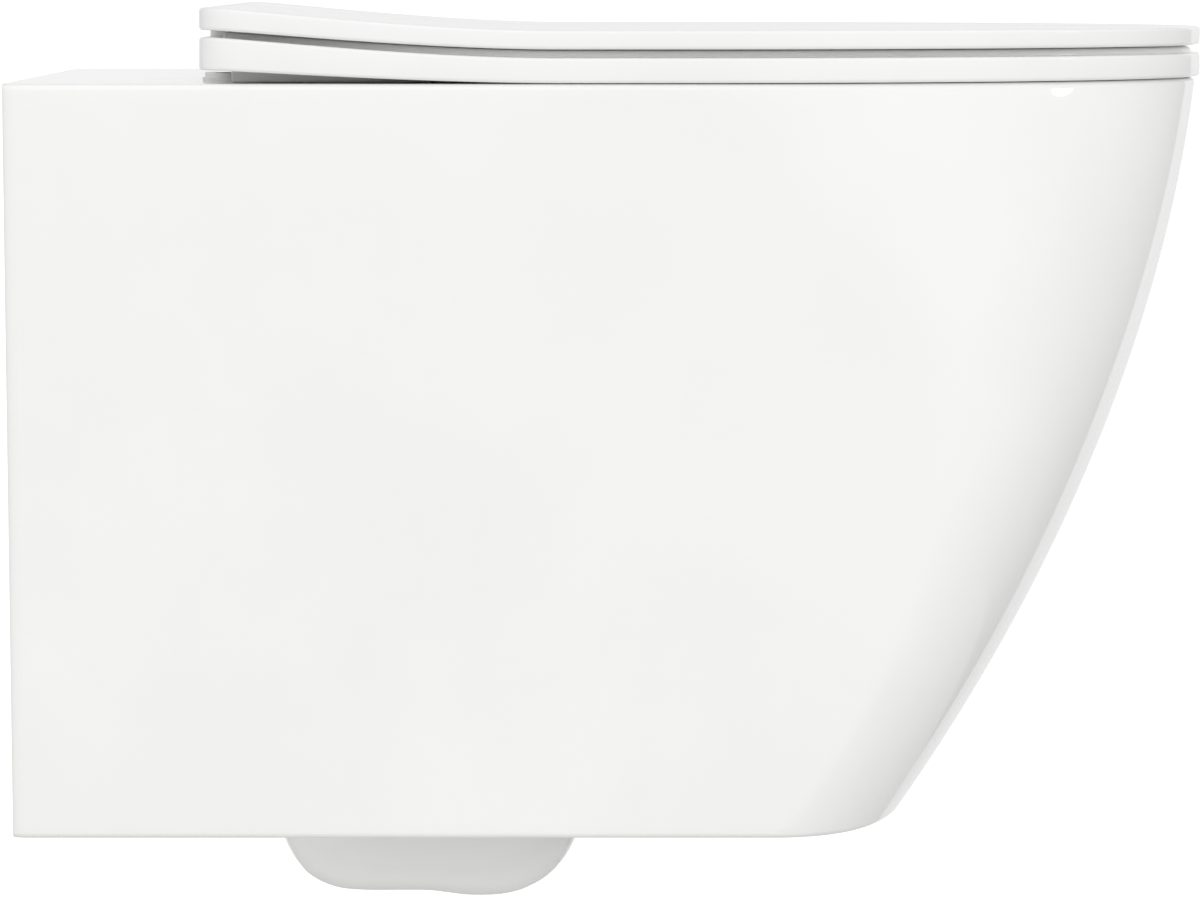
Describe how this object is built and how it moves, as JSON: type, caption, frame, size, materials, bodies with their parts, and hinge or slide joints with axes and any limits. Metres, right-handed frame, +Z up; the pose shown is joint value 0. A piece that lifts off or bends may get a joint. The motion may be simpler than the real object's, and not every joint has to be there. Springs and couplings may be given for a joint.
{
  "type": "wall hung toilet",
  "caption": "Wall hung toilet with a smooth-sided ceramic pan, a slim lid and seat on soft-close hinges, and concealed wall fixings.",
  "frame": {"origin": "on the wall plane, midway between the two fixing holes", "axes": "+Z up, -Y to the front of the pan, +Y into the wall, -X to the left side of a person facing the toilet"},
  "size_m": [0.355, 0.522, 0.401],
  "materials": {
    "glaze": "white gloss glaze",
    "white_plastic": "white gloss thermoset",
    "grey_plastic": "moulded, fine matt",
    "buffer": "soft clear-grey pads",
    "rubber": "black rubber",
    "chrome": "polished plating",
    "steel": "stainless steel",
    "zinc": "cast zinc",
    "brass": "turned brass"
  },
  "bodies": {
    "pan": {"ceramic_pan": "glaze", "flush_seal": "rubber", "flush_distributor": "grey_plastic", "wall_anchor_left": "zinc", "wall_anchor_right": "zinc", "clamp_screw_left": "steel", "clamp_screw_right": "steel", "hinge_gasket_left": "rubber", "hinge_gasket_right": "rubber", "hinge_base_left": "steel", "hinge_base_right": "steel", "hinge_post_left": "steel", "hinge_post_right": "steel", "deck_plug_left": "rubber", "deck_plug_right": "rubber", "plug_nut_left": "brass", "plug_nut_right": "brass"},
    "hinge_carrier": {"hinge_housing_left": "chrome", "hinge_housing_right": "chrome", "hinge_cap_left": "grey_plastic", "hinge_cap_right": "grey_plastic", "latch_clip_left": "steel", "latch_clip_right": "steel", "seat_damper": "grey_plastic", "lid_damper": "grey_plastic"},
    "seat": {"seat_ring": "white_plastic", "seat_buffers": "buffer", "seat_hinge_pin": "steel", "seat_bush": "grey_plastic"},
    "lid": {"lid": "white_plastic", "lid_buffers": "buffer", "lid_hinge_pin": "steel", "lid_bush": "grey_plastic"},
    "button_left": {"release_button_left": "grey_plastic"},
    "button_right": {"release_button_right": "grey_plastic"}
  },
  "joints": [
    {"name": "seat_lift", "type": "slide", "parent": "pan", "child": "hinge_carrier", "axis": [0, 0, 1], "range_m": [0, 0.035], "deforming": ["latch_clip_left", "latch_clip_right"]},
    {"name": "seat_hinge", "type": "hinge", "parent": "hinge_carrier", "child": "seat", "pos_m": [0, -0.086, 0.0975], "axis": [-1, 0, 0], "range_deg": [0, 98]},
    {"name": "lid_hinge", "type": "hinge", "parent": "seat", "child": "lid", "pos_m": [0, -0.086, 0.0975], "axis": [1, 0, 0], "range_deg": [-98, 0]},
    {"name": "release_left", "type": "slide", "parent": "hinge_carrier", "child": "button_left", "axis": [0, 1, 0], "range_m": [0, 0.0022], "stiffness_N_per_m": 600, "springref_m": -0.002},
    {"name": "release_right", "type": "slide", "parent": "hinge_carrier", "child": "button_right", "axis": [0, 1, 0], "range_m": [0, 0.0022], "stiffness_N_per_m": 600, "springref_m": -0.002}
  ]
}
